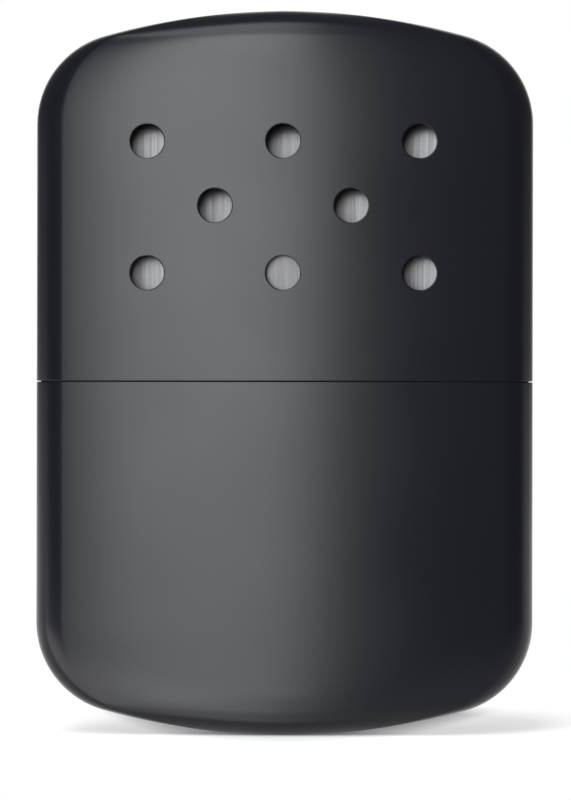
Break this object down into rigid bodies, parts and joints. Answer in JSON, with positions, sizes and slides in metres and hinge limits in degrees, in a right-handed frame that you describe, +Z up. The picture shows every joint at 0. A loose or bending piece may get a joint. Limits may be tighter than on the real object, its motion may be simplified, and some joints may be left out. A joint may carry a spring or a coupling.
{
  "type": "catalytic hand warmer",
  "caption": "Flat refillable catalytic hand warmer with a painted drawn tank, a vented slip-over cap, an oval filler neck and a lift-off burner head.",
  "frame": {"origin": "middle of the small flat under the tank, where the warmer stands", "axes": "+X across the width, -Y out of the vented front face, +Z up towards the cap's arched top"},
  "size_m": [0.0676, 0.014, 0.0982],
  "materials": {
    "graphite_paint": "satin",
    "bright_steel": "drawn, fine vertical lines",
    "burner_steel": "satin",
    "screen_steel": "woven wire and perforated sheet",
    "catalyst_fibre": "grey platinum-coated glass fibre",
    "wick_felt": "pressed felt",
    "cotton_batting": "loose cotton filling"
  },
  "bodies": {
    "tank": {"tank_shell": "graphite_paint", "tank_top": "bright_steel", "filler_neck": "bright_steel", "neck_gauze": "screen_steel", "wick_felt": "wick_felt", "tank_batting": "cotton_batting"},
    "burner": {"burner_skirt": "burner_steel", "burner_hood": "burner_steel", "pad_tray": "burner_steel", "lower_screen": "screen_steel", "catalyst_pad": "catalyst_fibre", "upper_screen": "screen_steel"},
    "cap": {"cap_shell": "graphite_paint"}
  },
  "joints": [
    {"name": "burner_lift", "type": "slide", "parent": "tank", "child": "burner", "axis": [0, 0, 1], "range_m": [0, 0.012]},
    {"name": "cap_lift", "type": "slide", "parent": "tank", "child": "cap", "axis": [0, 0, 1], "range_m": [0, 0.05]}
  ]
}
